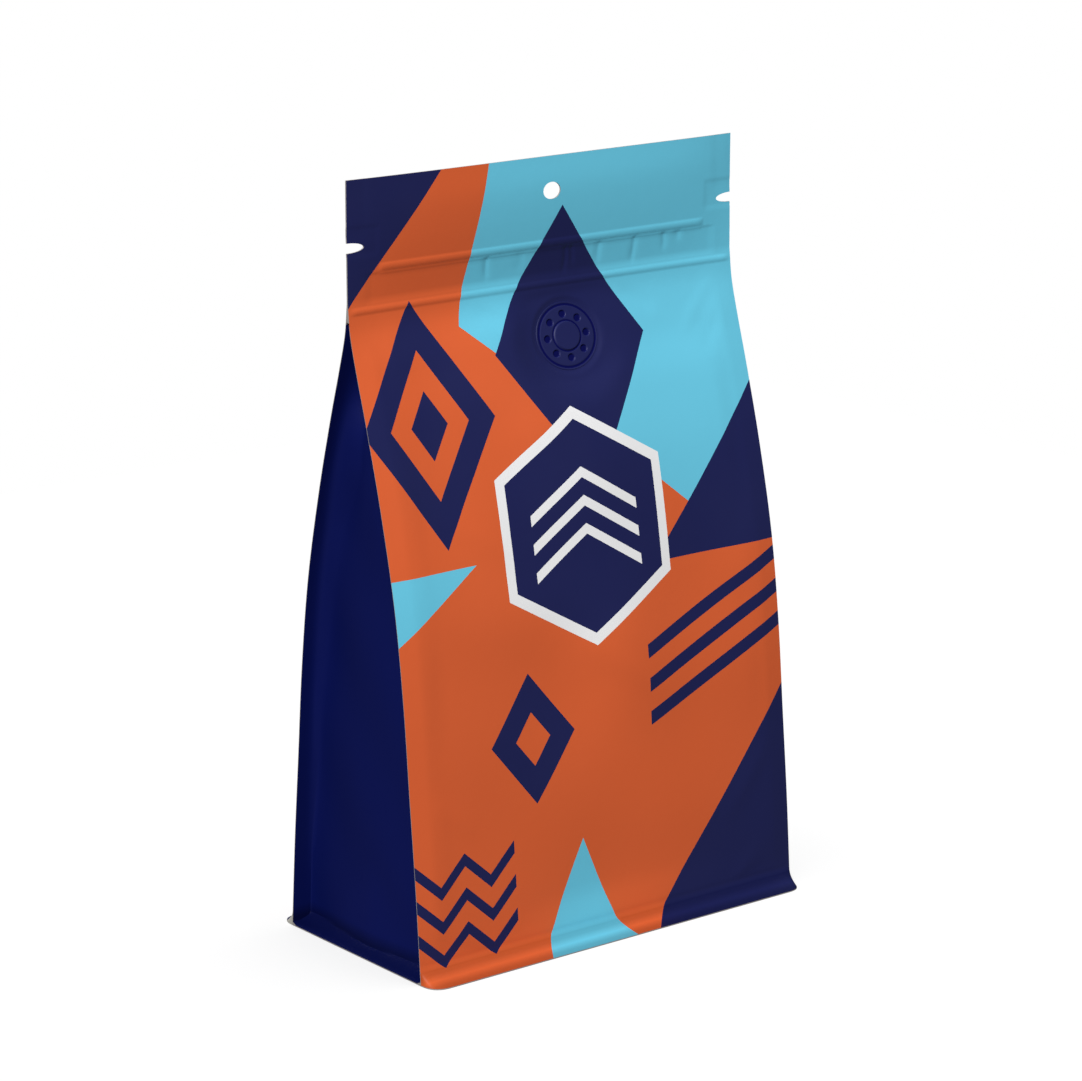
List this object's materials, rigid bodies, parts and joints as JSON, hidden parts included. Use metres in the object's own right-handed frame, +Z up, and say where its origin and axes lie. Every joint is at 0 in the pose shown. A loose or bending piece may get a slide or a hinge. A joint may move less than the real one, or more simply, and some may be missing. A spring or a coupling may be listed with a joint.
{
  "type": "flat-bottom pouch",
  "caption": "Shut, filled flat-bottom film pouch with side gussets, corner and base seals, reclosable strip, hang hole, tear notches and a one-way valve.",
  "frame": {"origin": "middle of the base, on the surface the pouch stands on", "axes": "+Z up to the sealed top edge, -Y out of the front panel that has the valve, +X to the right seen from the front"},
  "size_m": [0.1548, 0.0844, 0.25],
  "materials": {
    "printed_film": "soft matt printed laminate",
    "valve_face": "soft matt moulded disc under the film's colour"
  },
  "bodies": {
    "root": {"pouch": "printed_film", "valve": "valve_face"}
  },
  "joints": []
}
